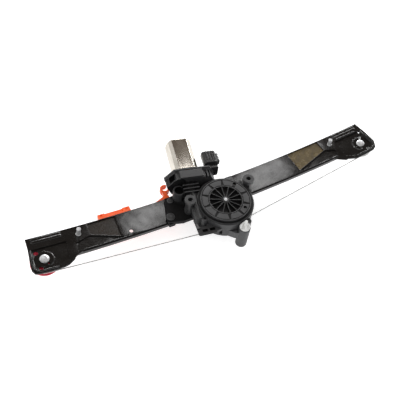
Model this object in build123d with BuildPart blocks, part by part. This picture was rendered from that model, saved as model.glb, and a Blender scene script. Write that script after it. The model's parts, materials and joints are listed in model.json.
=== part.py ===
from build123d import *
import os
from math import asin, atan2, cos, hypot, radians, sin, sqrt

# Window regulator, bowed single rail with a cable drum and a worm gear motor.
# Millimetres. Origin midway between the two motor boss bolt holes, on the top of
# the bosses. +X runs along the rail towards its upper end, +Z towards the motor.

os.makedirs("parts", exist_ok=True)

# Rail: a pressed steel strip, bowed about a line parallel to Y far above it.
sheet = 1.2
bow_radius = 1600.0
rail_front_z = -34.0
rail_top_y = 35.2
rail_web_low_y = -2.3
rail_low_y = -5.0
ledge_depth = 2.0
lip_depth = 7.4
lip_return = 3.2
pocket_depth = 2.0
dish_depth = 2.0
bow_centre_z = rail_front_z + bow_radius
plan_low_z = rail_front_z - 30
plan_height = 90.0

# Pulleys, one at each end of the rail.
pulley_x = 251.0
pulley_y = 0.5
pulley_path_radius = 17.0
pulley_radius = 18.4
pulley_width = 7.4
pulley_top_depth = 5.0
pulley_hub_rise = 0.9
pulley_tilt = 4.5
pulley_pin_radius = 4.0
running_gap = 0.05
loose_gap = 0.35

# Cable.
cable_radius = 0.75
drum_path_radius = 29.5

# Drum and gear stack, on one axis parallel to Z.
drum_y = -17.4
cup_radius = 40.0
cup_bottom_z = -33.4
cup_top_z = -20.6
cup_bore = 36.0
shaft_radius = 4.0
drum_low_z = -31.0
drum_high_z = -21.0
drum_flange_radius = 34.0
drum_flange = 1.5
gear_top_z = -7.4
gear_floor = 2.0
gear_bore = 37.0
cover_radius = 35.2

# Motor axis: beside the worm wheel, turned in plan from +Y towards +X.
motor_turn = 13.6
worm_centre_distance = 41.5
motor_z = -14.0
worm_radius = 4.8
wheel_tip_radius = 36.4
wheel_teeth = 73
flange_near = 54.0
can_length = 57.0
can_radius = 19.5
can_flat_height = 16.4

# Bosses that bolt the regulator to the door.
boss_x = 46.0
boss_radius = 8.0
boss_hole_radius = 3.2

# Studs that bolt the rail's heads to the door.
stud_radius = 2.9
stud_neck_radius = 3.6
stud_head_depth = 2.6

along = (sin(radians(motor_turn)), cos(radians(motor_turn)), 0)
across = (-cos(radians(motor_turn)), sin(radians(motor_turn)), 0)
motor_foot = (across[0] * worm_centre_distance, drum_y + across[1] * worm_centre_distance)


def motor_plane(reach):
    """Plane across the motor axis; its x points away from the drum and its y up."""
    origin = (motor_foot[0] + along[0] * reach, motor_foot[1] + along[1] * reach, motor_z)
    return Plane(origin=origin, x_dir=across, z_dir=along)


def bow_plane(x, y, depth=0.0):
    """Plane tangent to the bow at x, so far behind the front face; its normal faces front."""
    slope = asin(x / bow_radius)
    reach = bow_radius + depth
    origin = (sin(slope) * reach, y, bow_centre_z - cos(slope) * reach)
    return Plane(origin=origin, x_dir=(cos(slope), 0, sin(slope)), z_dir=(-sin(slope), 0, cos(slope)))


def pulley_plane(side, depth):
    """Plane across a pulley's axis, so far behind the rail's face; it leans less than the bow."""
    lean = radians(pulley_tilt)
    normal = Vector(-side * sin(lean), 0, cos(lean))
    origin = bow_plane(side * pulley_x, pulley_y, sheet).origin - normal * (depth - sheet)
    return Plane(origin=origin, x_dir=(cos(lean), 0, side * sin(lean)), z_dir=normal)


def bow_band(front, back):
    """Ring segment between two depths behind the rail's front face."""
    half_width = 80.0
    with BuildPart() as band:
        with BuildSketch(Plane.XZ.offset(-half_width)):
            with Locations((0, bow_centre_z)):
                Circle(bow_radius + back)
                Circle(bow_radius + front, mode=Mode.SUBTRACT)
            with Locations((0, rail_front_z)):
                Rectangle(620, 120, mode=Mode.INTERSECT)
        extrude(amount=2 * half_width)
    return band.part


def plan_outline(points, corner=0.0):
    """Closed plan outline, with every corner rounded alike if a radius is given."""
    with BuildSketch(Plane.XY.offset(plan_low_z)) as outline:
        with BuildLine():
            Polyline(*points, close=True)
        make_face()
        if corner:
            fillet(outline.vertices(), corner)
    return outline.sketch


def bowed(outline, front, back):
    """Piece of the bowed sheet between two depths, cut to a plan outline."""
    with BuildPart() as piece:
        extrude(outline, amount=plan_height)
        add(bow_band(front, back), mode=Mode.INTERSECT)
    return piece.part


def box_outline(x_low, x_high, y_low, y_high, corner=0.0):
    """Plan rectangle from its limits."""
    points = [(x_low, y_low), (x_high, y_low), (x_high, y_high), (x_low, y_high)]
    return plan_outline(points, corner)


def grown(points, amount, y_low=-60.0):
    """Plan outline offset outwards by a wall's thickness, kept above a given y."""
    with BuildSketch(Plane.XY.offset(plan_low_z)) as outline:
        with BuildLine():
            Polyline(*points, close=True)
        make_face()
        offset(amount=amount, kind=Kind.INTERSECTION)
        with Locations((0, y_low)):
            Rectangle(600, 120, align=(Align.CENTER, Align.MIN), mode=Mode.INTERSECT)
    return outline.sketch


def head_skirt(side):
    """Edge turned back round a head's end and lower side."""
    with BuildPart() as skirt:
        add(bowed(grown(web_points, -0.05), 0.3, skirt_depth))
        add(bowed(grown(web_points, -sheet), 0, skirt_depth + 1), mode=Mode.SUBTRACT)
        x_low, x_high = sorted((side * skirt_reach, side * 280))
        corners = [(x_low, -30), (x_high, -30), (x_high, skirt_top_y), (x_low, skirt_top_y)]
        add(block(corners, -60, 0), mode=Mode.INTERSECT)
    return skirt.part


def save(part, name):
    """Label a finished piece and write it as one STEP file."""
    part.label = name
    export_step(part, f"parts/{name}.step")


def turned(points, plane):
    """Solid of revolution about a plane's normal; points are (radius, height)."""
    section = Plane(origin=plane.origin, x_dir=plane.x_dir, z_dir=plane.x_dir.cross(plane.z_dir))
    with BuildPart() as piece:
        with BuildSketch(section):
            with BuildLine():
                Polyline(*points, close=True)
            make_face()
        revolve(axis=Axis(plane.origin, plane.z_dir))
    return piece.part


def post(x, y, radius, z_low, z_high):
    """Upright round post."""
    with BuildPart() as piece:
        with BuildSketch(Plane.XY.offset(z_low)):
            with Locations((x, y)):
                Circle(radius)
        extrude(amount=z_high - z_low)
    return piece.part


def block(points, z_low, z_high, corner=0.0):
    """Upright prism on a plan polygon."""
    with BuildPart() as piece:
        with BuildSketch(Plane.XY.offset(z_low)) as outline:
            with BuildLine():
                Polyline(*points, close=True)
            make_face()
            if corner:
                fillet(outline.vertices(), corner)
        extrude(amount=z_high - z_low)
    return piece.part


def motor_round(radius, near, far, x=0.0, y=0.0):
    """Round bar parallel to the motor axis, between two stations along it."""
    with BuildPart() as piece:
        with BuildSketch(motor_plane(near)):
            with Locations((x, y)):
                Circle(radius)
        extrude(amount=far - near)
    return piece.part


def motor_prism(points, near, far, corner=0.0):
    """Prism parallel to the motor axis, on a polygon across it."""
    with BuildPart() as piece:
        with BuildSketch(motor_plane(near)) as outline:
            with BuildLine():
                Polyline(*points, close=True)
            make_face()
            if corner:
                fillet(outline.vertices(), corner)
        extrude(amount=far - near)
    return piece.part


def around_drum(radius, turn):
    """Point in plan at a radius and angle about the drum axis."""
    return (radius * cos(radians(turn)), drum_y + radius * sin(radians(turn)))


# ---------------------------------------------------------------- rail

lower_head = [
    (-265, rail_top_y), (-266.7, 16), (-269.8, -2.4), (-270.9, -12.6), (-268.5, -17.8), (-263.1, -18.8),
    (-249.2, -19.9), (-231.3, -19.1), (-224.7, -17.5), (-217, -13), (-210.6, -8), (-202, rail_low_y),
    (-192, rail_web_low_y),
]
upper_head = [
    (192, rail_web_low_y), (200, -6.5), (213.5, -15.8), (219, -15), (231.5, -20.5), (246.5, -20.2),
    (261, -19.4), (267, -15.6), (271, -6), (268.5, 16.5), (265, rail_top_y),
]
web_points = lower_head + upper_head

lower_pocket = [(-144, rail_top_y - sheet), (-146.5, 0.5), (-184.3, 16.5), (-182.5, rail_top_y - sheet)]
upper_pocket = [(139.5, rail_top_y - sheet), (141.5, 0.5), (194.5, 15.5), (193, rail_top_y - sheet)]
lower_dish = [(-262.5, 17), (-265.5, -4), (-264.5, -12), (-260, -14.5), (-236, -15), (-222, -10), (-217, 17)]
upper_dish = [
    (218, 21), (217.5, -9), (232, -16), (258, -15), (262.5, -12.5), (266, -6), (262.5, 21),
]
lower_panel = [
    (-136, rail_web_low_y), (-146, -0.7), (-186, 15), (-206, 10), (-208, rail_low_y), (-136, rail_low_y),
]
upper_panel = [
    (136, rail_web_low_y), (142, -0.7), (196, 14), (210, 8), (206, rail_low_y), (136, rail_low_y),
]
lower_rim = [
    (-264.5, 16), (-268.0, -4), (-268.8, -12), (-266.8, -16), (-262, -16.8), (-238, -17.8), (-238, -16.4),
    (-261.6, -15.6), (-265.8, -15), (-267.4, -11.6), (-266.6, -4), (-263.1, 16),
]
upper_rim = [
    (263.8, 20), (268.4, -6), (265.4, -14), (260, -17.4), (233, -18.4), (233, -17), (259.4, -16.2),
    (264.2, -13.2), (267, -6), (262.4, 20),
]
skirt_depth = 3.0
skirt_reach = 215.0
skirt_top_y = 18.0

pulley_holes = {
    -1: [(-258.2, 11.8, 3.0), (-258.6, -11.5, 2.9), (-247.6, -7.4, 1.3)],
    1: [(256, 10.6, 2.9), (256.5, -12.5, 2.9), (241.8, -1.6, 1.4), (248.0, -8.2, 1.9), (261, 19.4, 1.2)],
}
stud_places = {"lower": (-198.5, 22.6), "upper": (208.0, 20.8)}
rivet_shank = 2.2
rivet_hole_radius = 2.4
rivet_back_radius = 3.2
housing_rivets = [(-73.5, 1.1, 6.0), (-62.5, 26.0, 4.2), (34.0, 26.0, 4.2)]


def lip_outlines():
    """Outlines of the turned-down lips and their returns, with their depths."""
    reach = 214.0
    return [
        (box_outline(-265, 265, rail_top_y - sheet, rail_top_y), 0, lip_depth),
        (box_outline(-reach, reach, rail_top_y - lip_return, rail_top_y), lip_depth - sheet, lip_depth),
        (box_outline(-reach, reach, rail_web_low_y - sheet, rail_web_low_y), 0, ledge_depth + sheet),
        (box_outline(-reach, reach, rail_low_y, rail_web_low_y), ledge_depth, ledge_depth + sheet),
        (box_outline(-reach, reach, rail_low_y, rail_low_y + sheet), ledge_depth, lip_depth),
        (box_outline(-reach, reach, rail_low_y, rail_low_y + lip_return), lip_depth - sheet, lip_depth),
    ]


with BuildPart() as rail:
    add(bowed(plan_outline(web_points), 0, sheet))
    # widened lower panels under the pockets replace the web there
    for panel in (lower_panel, upper_panel):
        add(bowed(grown(panel, sheet, rail_web_low_y - sheet), 0, ledge_depth + sheet))
        add(bowed(plan_outline(panel), -1, ledge_depth), mode=Mode.SUBTRACT)
        add(bowed(plan_outline(panel), ledge_depth, ledge_depth + sheet))
    # lips along both edges
    for outline, front, back in lip_outlines():
        add(bowed(outline, front, back))
    # pressed pans: pockets and head dishes
    for pan, pan_depth in (
        (lower_pocket, pocket_depth), (upper_pocket, pocket_depth),
        (lower_dish, dish_depth), (upper_dish, dish_depth),
    ):
        add(bowed(grown(pan, sheet), 0, pan_depth + sheet))
        add(bowed(plan_outline(pan), -1, pan_depth), mode=Mode.SUBTRACT)
    # long beads along the heads, and a raised rim and a turned edge round each head's end
    for side in (-1, 1):
        bead_low, bead_high = sorted((side * 219, side * 259))
        for y_low, y_high in ((31.0, 33.0), (26.5, 29.0)):
            add(bowed(box_outline(bead_low, bead_high, y_low, y_high), -1.0, 0.3))
        add(head_skirt(side))
    add(bowed(box_outline(222, 256, 22.5, 24.0), -1.2, 0.3))
    for rim in (lower_rim, upper_rim):
        add(bowed(plan_outline(rim), -1.4, 0.3))
    # domes under the pulley rivets
    for side in (-1, 1):
        dome_plane = pulley_plane(side, dish_depth + sheet)
        with BuildSketch(dome_plane):
            Circle(13.0)
        extrude(amount=2.0, taper=35)
        with BuildSketch(dome_plane.offset(-4)):
            Circle(pulley_pin_radius)
        extrude(amount=12, mode=Mode.SUBTRACT)
        for x, y, radius in pulley_holes[side]:
            with BuildSketch(bow_plane(x, y, 12)):
                Circle(radius)
            extrude(amount=16, mode=Mode.SUBTRACT)
    # tooling hole and the stud holes
    with BuildSketch(bow_plane(-131.5, 3.0, 6)):
        Circle(2.5)
    extrude(amount=10, mode=Mode.SUBTRACT)
    for x, y in stud_places.values():
        with BuildSketch(bow_plane(x, y, 6)):
            Circle(stud_neck_radius)
        extrude(amount=10, mode=Mode.SUBTRACT)
    for x, y, _ in housing_rivets:
        with BuildSketch(bow_plane(x, y, 6)):
            Circle(rivet_hole_radius)
        extrude(amount=10, mode=Mode.SUBTRACT)
save(rail.part, "rail")


# ---------------------------------------------------------------- studs, pulleys and their rivets

for name, (x, y) in stud_places.items():
    with BuildPart() as stud:
        add(turned(
            [
                (0, 0), (4.6, 0), (5, 0.4), (5, stud_head_depth - sheet),
                (stud_neck_radius, stud_head_depth - sheet), (stud_neck_radius, stud_head_depth),
                (stud_radius, stud_head_depth), (stud_radius, 13.4), (2.3, 14.2), (0, 14.2),
            ],
            bow_plane(x, y, stud_head_depth),
        ))
    save(stud.part, f"stud_{name}")

for name, side in (("lower", -1), ("upper", 1)):
    dome_depth = dish_depth + sheet - 2.0
    tail_depth = pulley_top_depth + pulley_width + 0.4
    with BuildPart() as rivet:
        add(turned(
            [
                (0, 0), (5.2, 0), (6, 0.6), (6, 1.4), (4, 1.4), (4, 1.4 + tail_depth - dome_depth),
                (6.3, 1.4 + tail_depth - dome_depth), (5.8, 2.5 + tail_depth - dome_depth),
                (3.4, 3.4 + tail_depth - dome_depth), (0, 3.6 + tail_depth - dome_depth),
            ],
            pulley_plane(side, tail_depth + 1.4),
        ))
    save(rivet.part, f"pulley_rivet_{name}")

    with BuildPart() as pulley:
        half = pulley_width / 2
        root = pulley_path_radius - cable_radius - loose_gap
        bore = pulley_pin_radius + running_gap
        plane = pulley_plane(side, pulley_top_depth + half)
        add(turned(
            [
                (bore, -half), (7, -half), (7.6, -half + 1), (12.6, -half + 1), (13.4, -half),
                (pulley_radius, -half),
                (pulley_radius, -half + 1.1), (root, -1.5), (root, 1.5), (pulley_radius, half - 1.1),
                (pulley_radius, half), (13.4, half), (12.6, half - 1), (7.6, half - 1),
                (7, half + pulley_hub_rise),
                (bore, half + pulley_hub_rise),
            ],
            plane,
        ))
        with BuildSketch(plane.offset(-half - 1)):
            with PolarLocations(10.6, 6, start_angle=75 if side < 0 else 63):
                Circle(2.4)
        extrude(amount=pulley_width + 2, mode=Mode.SUBTRACT)
    save(pulley.part, f"pulley_{name}")

# ---------------------------------------------------------------- cables

cable_depth = cable_radius + loose_gap + sheet
pan_edge_x = 142.0
pan_edge_depth = pocket_depth + sheet + cable_radius + loose_gap
cable_y = pulley_y + pulley_path_radius
web_bend_radius = bow_radius + cable_depth
pulley_cable_depth = pulley_top_depth + pulley_width / 2
pan_bend_radius = 300.0
bend_slack = 0.1
lower_start_x = -114.0
upper_start_x = -106.0


def depth_point(x, depth):
    """Point of the carriage side of the cable at a depth behind the rail's front face."""
    reach = bow_radius + depth
    return (x, cable_y, bow_centre_z - sqrt(reach * reach - x * x))


def web_corner():
    """Corner at mid length whose two runs touch the web's back and reach the pans' edges."""
    x, _, z = depth_point(pan_edge_x, pan_edge_depth)
    rise = bow_centre_z - z
    reach = hypot(x, rise)
    angle = atan2(x, rise) - asin(sqrt(1 - (web_bend_radius / reach) ** 2))
    return (0, cable_y, bow_centre_z - web_bend_radius / cos(angle))


def cable_route(side, start_x, z_in, z_end):
    """Corners and radii of one cable from the carriage, round its pulley, to the drum."""
    edge = depth_point(side * pan_edge_x, pan_edge_depth)
    middle = web_corner()
    low_edge = depth_point(-pan_edge_x, pan_edge_depth)
    start_z = middle[2] + (low_edge[2] - middle[2]) * abs(start_x) / pan_edge_x
    start = (start_x, cable_y, start_z)
    plane = pulley_plane(side, pulley_cable_depth)
    out = plane.x_dir * (side * pulley_path_radius)
    centre = plane.origin
    # slope of the run that touches the far sides of the pulley and the drum
    run = centre.X * side
    rise = centre.Y - drum_y
    slope = atan2(rise, run) + asin((drum_path_radius - pulley_path_radius) / hypot(run, rise))
    near = centre + out + Vector(0, pulley_path_radius, 0)
    far = centre + out - Vector(0, pulley_path_radius * (1 - sin(slope)) / cos(slope), 0)
    # one turn round the drum, with a corner at each quarter
    radius = drum_path_radius
    reach = radius * (1 + sin(slope)) / cos(slope)
    step = (z_end - z_in) / 4
    wrap = [
        (-side * radius, drum_y - reach, z_in + 0.5 * step),
        (-side * radius, drum_y + radius, z_in + 1.5 * step),
        (side * radius, drum_y + radius, z_in + 2.5 * step),
        (side * radius, drum_y - radius, z_in + 3.5 * step),
        (0, drum_y - radius, z_end),
    ]
    corners = [start, edge, near, far] + wrap
    radii = [pan_bend_radius] + [pulley_path_radius - bend_slack] * 2 + [radius - 2 * bend_slack] * 4
    if side > 0:
        corners.insert(1, middle)
        radii.insert(0, web_bend_radius)
    return corners, radii


for name, side, start_x, z_in, z_end in (
    ("lower", -1, lower_start_x, -26.9, -28.5), ("upper", 1, upper_start_x, -25.1, -23.5),
):
    corners, radii = cable_route(side, start_x, z_in, z_end)
    with BuildPart() as cable:
        with BuildLine() as route:
            FilletPolyline(*corners, radius=radii)
        with BuildSketch(Plane(origin=route.wire() @ 0, z_dir=route.wire() % 0)):
            Circle(cable_radius)
        sweep()
    print("cable", name, "length", route.wire().length)
    save(cable.part, f"cable_{name}")

# ---------------------------------------------------------------- drum housing

wing = [(-68.5, 33), (-70.4, 25), (-80.8, -3), (-79.5, -6), (-60, -12.1), (-36, -12), (-36, 33)]
tab = [(-79.5, -5), (-79, -8.4), (-69.5, -8.4), (-69.5, -5)]
corner_block = [(-48.5, -10), (-54.5, -45.7), (-52.7, -47.6), (-30, -51.5), (-10, -50), (-20, -10)]
corner_foot = [(-46, -14), (-47.4, -34.5), (-30, -41), (-20, -20)]
corner_top_z = -15.5
corner_low_z = -20.4
wing_top_z = -27.5
arm = [(-16, -52), (-7, -62), (0, -66), (10, -60), (22, -50)]
lug = [(22, 10), (28, 32), (40, 32), (41, 18), (38, -4)]
boss_foot = [(24, -12), (40, 7), (52, 5), (53, -5), (40, -26)]
tube_centre = (5.1, -63.8)
tube_radius = 8.0
tube_bore = 5.4
tube_low_z = -49.4
tube_high_z = -11.6
slot_length = 100.0
slot_width = 3.2
slot_low_z = -30.0
slot_height = 8.4
screw_places = [(-38.6, -30.3), (14.5, -56.5), (37.0, 4.0)]
screw_tops = [-8.0, -11.0, -10.0]
screw_head_radius = 3.8
screw_head_height = 2.1
rail_clear = bowed(box_outline(-120, 120, rail_low_y - 0.4, rail_top_y + 0.4), -0.05, 30)


def cable_slot(side):
    """Slot that lets one cable into the drum cup, along its run."""
    corners, _ = cable_route(side, side * 110.0, -26.0, -26.0)
    far = Vector(*corners[-6])
    near = Vector(*corners[-5])
    heading = Vector(near.X - far.X, near.Y - far.Y, 0).normalized()
    with BuildPart() as slot:
        with BuildSketch(Plane(origin=(near.X, near.Y, slot_low_z), x_dir=heading, z_dir=(0, 0, 1))):
            with Locations((-slot_length / 2, 0)):
                Rectangle(slot_length, slot_width)
        extrude(amount=slot_height)
    return slot.part


with BuildPart() as drum_housing:
    add(post(0, drum_y, cup_radius, cup_bottom_z, cup_top_z))
    add(block(corner_foot, cup_bottom_z, corner_low_z + 1, 1.0))
    add(block(corner_block, corner_low_z, corner_top_z, 1.0))
    add(block(wing, cup_bottom_z - 0.4, wing_top_z, 2.0))
    add(block(tab, -37.5, -31.0, 1.0))
    add(block(arm, cup_bottom_z, -20.5, 1.0))
    add(block(lug, cup_bottom_z, wing_top_z, 2.0))
    add(block(boss_foot, cup_bottom_z, -24.0, 2.0))
    add(post(-boss_x, 0, 6.6, cup_bottom_z, cup_top_z))
    add(post(boss_x, 0, 6.0, cup_bottom_z, cup_top_z))
    for x, y in screw_places:
        add(post(x, y, 5.0, cup_bottom_z, cup_top_z))
    # gear stack clearance above, drum cup, cable slots and rail seat
    add(post(0, drum_y, cup_radius + 0.3, cup_top_z, 0), mode=Mode.SUBTRACT)
    for x, y in screw_places:
        add(post(x, y, 5.5, cup_top_z, 0), mode=Mode.SUBTRACT)
    add(post(-boss_x, 0, 6.6, cup_top_z, 0), mode=Mode.SUBTRACT)
    add(post(*tube_centre, tube_radius, tube_low_z, tube_high_z))
    add(post(0, drum_y, cup_bore, drum_low_z - 0.5, cup_top_z), mode=Mode.SUBTRACT)
    add(post(0, drum_y, shaft_radius, cup_bottom_z - 5, 0), mode=Mode.SUBTRACT)
    for side in (-1, 1):
        add(cable_slot(side), mode=Mode.SUBTRACT)
    add(motor_round(8.0, -30, 60), mode=Mode.SUBTRACT)
    add(rail_clear, mode=Mode.SUBTRACT)
    # square pockets along the corner block and its bottom wall
    for step in range(4):
        with BuildSketch(Plane.XY.offset(corner_top_z)):
            with Locations((-48.6 - step * 0.95, -17.5 - step * 6.6)):
                Rectangle(4.2, 4.8)
        extrude(amount=-3.4, mode=Mode.SUBTRACT)
    with BuildSketch(Plane.XY.offset(corner_top_z)):
        with Locations((-44.5, -44.2)):
            Rectangle(7.5, 4.0, rotation=-9)
        with Locations((-34.5, -46.0)):
            Rectangle(7.5, 4.0, rotation=-9)
    extrude(amount=-3.4, mode=Mode.SUBTRACT)
    # tube bore for the locating pin, screw holes, rivet holes
    add(post(*tube_centre, tube_bore, tube_high_z - 24, tube_high_z + 1), mode=Mode.SUBTRACT)
    add(post(*tube_centre, tube_bore + 1.2, tube_low_z - 1, tube_low_z + 10), mode=Mode.SUBTRACT)
    for x, y in screw_places:
        add(post(x, y, 1.9, cup_bottom_z - 1, cup_top_z + 1), mode=Mode.SUBTRACT)
        head_top = cup_bottom_z + screw_head_height
        add(post(x, y, screw_head_radius + 0.2, cup_bottom_z - 1, head_top), mode=Mode.SUBTRACT)
    for x, y, _ in housing_rivets:
        add(post(x, y, rivet_shank, -40, -20), mode=Mode.SUBTRACT)
save(drum_housing.part, "drum_housing")

with BuildPart() as rivets:
    for x, y, head in housing_rivets:
        low = bow_plane(x, y, sheet).origin.Z - 0.3
        add(turned(
            [
                (0, low - 1.2), (rivet_back_radius - 0.5, low - 1.2), (rivet_back_radius, low - 0.8),
                (rivet_back_radius, low), (rivet_shank, low), (rivet_shank, wing_top_z), (head, wing_top_z),
                (head, wing_top_z + 1.2), (head - 0.9, wing_top_z + 1.9), (0, wing_top_z + 2.1),
            ],
            Plane(origin=(x, y, 0)),
        ))
save(rivets.part, "housing_rivets")

# locating pin: a fluted cone on a stem pressed into the tube
with BuildPart() as locating_pin:
    pin_plane = Plane(origin=(tube_centre[0], tube_centre[1], tube_high_z))
    add(turned(
        [
            (0, -20), (4.6, -20), (tube_bore, -19), (tube_bore, 0), (7.0, 0), (7.2, 1.2), (6.6, 3.2),
            (2.2, 13.6), (1.1, 15.4), (0, 15.6),
        ],
        pin_plane,
    ))
    with BuildSketch(pin_plane.offset(1.4)):
        with PolarLocations(5.0, 4, start_angle=25):
            Rectangle(7.0, 4.6)
    extrude(amount=16, mode=Mode.SUBTRACT)
    add(turned([(0, 1.0), (2.2, 1.0), (2.2, 13.6), (1.1, 15.4), (0, 15.6)], pin_plane))
save(locating_pin.part, "locating_pin")

# ---------------------------------------------------------------- gear housing, cover and screws

hood = [(32, 0), (18.5, 15.5), (-30, 14.5), (-39, -1), (-36, -15), (24, -17)]
hood_near = 41.0
hood_panel = [(13, 10), (13, 18), (-20, 18), (-20, 10)]
tunnel_radius = 7.6
tunnel_bore = 5.6
tunnel_end = -21.5
tunnel_bore_end = -19.0
brush_room = 16.4
recess_post = (-49.0, 27.0)
ear_reach = 23.4

with BuildPart() as gear_housing:
    add(post(0, drum_y, 40.0, cup_top_z, gear_top_z))
    add(motor_round(tunnel_radius, tunnel_end, hood_near + 4))
    add(motor_prism(hood, hood_near, flange_near, 2.0))
    add(motor_prism(hood_panel, hood_near, flange_near, 0.8))
    add(motor_prism([(x * 1.03, y * 1.05) for x, y in hood], flange_near, 57.2, 2.0))
    # neck under the hood with its cross ribs
    add(motor_prism([(9, -6.4), (8, 6), (-11, 6), (-12, -6.4)], 20, hood_near + 1))
    for near in (22.5, 28.5, 34.5):
        add(motor_prism([(12, -6.4), (11, 8.6), (-12, 8.6), (-13, -6.4)], near, near + 1.8))
    add(post(*recess_post, 8.5, wing_top_z, -11.0))
    # bosses with their columns and webs
    add(post(-boss_x, 0, boss_radius, -4, 0))
    add(post(-boss_x, 0, 6.0, cup_top_z, -3.9))
    add(post(boss_x, 0, boss_radius, -6, 0))
    add(post(boss_x, 0, 6.0, cup_top_z, -5.9))
    add(block([(28, 6), (45, 6), (50, -3), (44, -8), (36, -22)], cup_top_z, -10.0, 1.0))
    add(block([(-46, 3), (-40, 16), (-28, 10), (-34, -4)], cup_top_z, -8.0, 1.0))
    for (x, y), top in zip(screw_places, screw_tops):
        add(post(x, y, 4.8, cup_top_z, top))
    # wheel room, worm tunnel, brush room
    add(post(0, drum_y, gear_bore, cup_top_z + gear_floor, gear_top_z + 1), mode=Mode.SUBTRACT)
    add(post(0, drum_y, cover_radius + 3.6, gear_top_z, 3), mode=Mode.SUBTRACT)
    add(post(0, drum_y, 7.4, cup_top_z - 1, gear_top_z), mode=Mode.SUBTRACT)
    add(post(*tube_centre, tube_radius + 0.2, cup_top_z - 1, 1), mode=Mode.SUBTRACT)
    for side in (-1, 1):
        add(motor_round(1.5, 48, 60, side * ear_reach, 0), mode=Mode.SUBTRACT)
    add(motor_round(tunnel_bore, tunnel_bore_end, hood_near + 6), mode=Mode.SUBTRACT)
    add(motor_round(brush_room, hood_near + 3, 60), mode=Mode.SUBTRACT)
    # blind boss holes, recess, screw holes
    for side in (-1, 1):
        add(post(side * boss_x, 0, boss_hole_radius, -7, 1), mode=Mode.SUBTRACT)
    add(post(*recess_post, 6.4, -19.0, -10.0), mode=Mode.SUBTRACT)
    for (x, y), top in zip(screw_places, screw_tops):
        add(post(x, y, 1.9, cup_top_z - 1, -9.4), mode=Mode.SUBTRACT)
    add(post(*screw_places[0], 2.6, -9.5, 0), mode=Mode.SUBTRACT)
    # deep pocket at the hood's corner and grooves beside its panel
    hood_pocket = [(18.6, 20), (18.6, 3), (27, 3), (27, 20)]
    add(motor_prism(hood_pocket, hood_near + 2, flange_near - 1), mode=Mode.SUBTRACT)
    for x in (-23.5, -28.0):
        groove = [(x, 20), (x, 9), (x - 2.4, 9), (x - 2.4, 20)]
        add(motor_prism(groove, hood_near - 1, flange_near - 1), mode=Mode.SUBTRACT)
save(gear_housing.part, "gear_housing")

spokes = 14
hub_radius = 4.6
spoke_ring = 22.4

with BuildPart() as gear_cover:
    add(turned(
        [
            (2.45, gear_top_z), (38.6, gear_top_z), (38.6, -5.8), (cover_radius, -5.8), (cover_radius, -2.9),
            (33.8, -2.9), (33.6, -3.6), (23.9, -3.6), (23.7, -3.0), (spoke_ring, -3.0), (spoke_ring, -6.7),
            (hub_radius, -6.7), (hub_radius, -2.8), (2.45, -2.8),
        ],
        Plane(origin=(0, drum_y, 0)),
    ))
    # radial spokes
    with BuildSketch(Plane.XY.offset(-6.8)):
        with Locations((0, drum_y)):
            with PolarLocations((hub_radius + spoke_ring) / 2, spokes):
                Rectangle(spoke_ring - hub_radius + 1.0, 1.0)
    extrude(amount=3.7)
    # raised pads between the dividers of the outer band
    for turn in range(10):
        inner = [around_drum(24.6, turn * 36 + 5 + step) for step in (0, 9, 18, 26)]
        outer = [around_drum(32.9, turn * 36 + 2 + step) for step in (0, 8, 16, 24, 32)]
        add(block(inner + outer[::-1], -3.8, -3.0))
    # holes for the cover's screws
    for x, y in ((23.9, 1.5), (18.2, -39.8)):
        add(post(x, y, 2.2, gear_top_z - 1, 0), mode=Mode.SUBTRACT)
save(gear_cover.part, "gear_cover")

with BuildPart() as screws:
    for x, y in screw_places:
        low = cup_bottom_z + 0.1
        under = low + screw_head_height - 0.1
        add(turned(
            [
                (0, low), (screw_head_radius, low), (screw_head_radius, under), (1.85, under), (1.85, -9.8),
                (0, -9.8),
            ],
            Plane(origin=(x, y, 0)),
        ))
    for x, y in screw_places:
        with BuildSketch(Plane.XY.offset(cup_bottom_z)):
            with Locations((x, y)):
                RegularPolygon(1.7, 6)
        extrude(amount=1.4, mode=Mode.SUBTRACT)
save(screws.part, "housing_screws")

# ---------------------------------------------------------------- drum, worm wheel, damper, driver, shaft

drum_plane = Plane(origin=(0, drum_y, 0))
drum_bore = shaft_radius + running_gap
winding_radius = drum_path_radius - cable_radius - loose_gap

with BuildPart() as drum:
    add(turned(
        [
            (drum_bore, drum_low_z), (drum_flange_radius, drum_low_z),
            (drum_flange_radius, drum_low_z + drum_flange),
            (winding_radius, drum_low_z + drum_flange), (winding_radius, drum_high_z - drum_flange),
            (drum_flange_radius, drum_high_z - drum_flange), (drum_flange_radius, drum_high_z),
            (24, drum_high_z), (24, -27), (12, -27), (12, drum_high_z), (drum_bore, drum_high_z),
        ],
        drum_plane,
    ))
    with BuildSketch(Plane.XY.offset(-27.2)):
        with Locations((0, drum_y)):
            with PolarLocations(18, 8):
                Rectangle(12.4, 1.6)
    extrude(amount=5.8)
    with BuildSketch(Plane.XY.offset(drum_high_z)):
        with Locations((0, drum_y)):
            RegularPolygon(7.1, 6)
    extrude(amount=-6, mode=Mode.SUBTRACT)
save(drum.part, "drum")

with BuildPart() as worm_wheel:
    with BuildSketch(Plane.XY.offset(-18.0)):
        with Locations((0, drum_y)):
            Circle(wheel_tip_radius)
    extrude(amount=8.5)
    with BuildSketch(Plane.XY.offset(-18.5)):
        with Locations((0, drum_y)):
            with PolarLocations(wheel_tip_radius + 0.1, wheel_teeth):
                Polygon((-1.9, 0.25), (-1.9, -0.25), (0.3, -0.95), (0.3, 0.95))
    extrude(amount=10, mode=Mode.SUBTRACT)
    add(turned([(12.2, -16.0), (29.5, -16.0), (29.5, -9), (12.2, -9)], drum_plane), mode=Mode.SUBTRACT)
    add(turned([(0, -19), (10.2, -19), (10.2, -9), (0, -9)], drum_plane), mode=Mode.SUBTRACT)
    add(turned([(0, -10.9), (29.5, -10.9), (29.5, -9), (0, -9)], drum_plane), mode=Mode.SUBTRACT)
save(worm_wheel.part, "worm_wheel")

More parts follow.
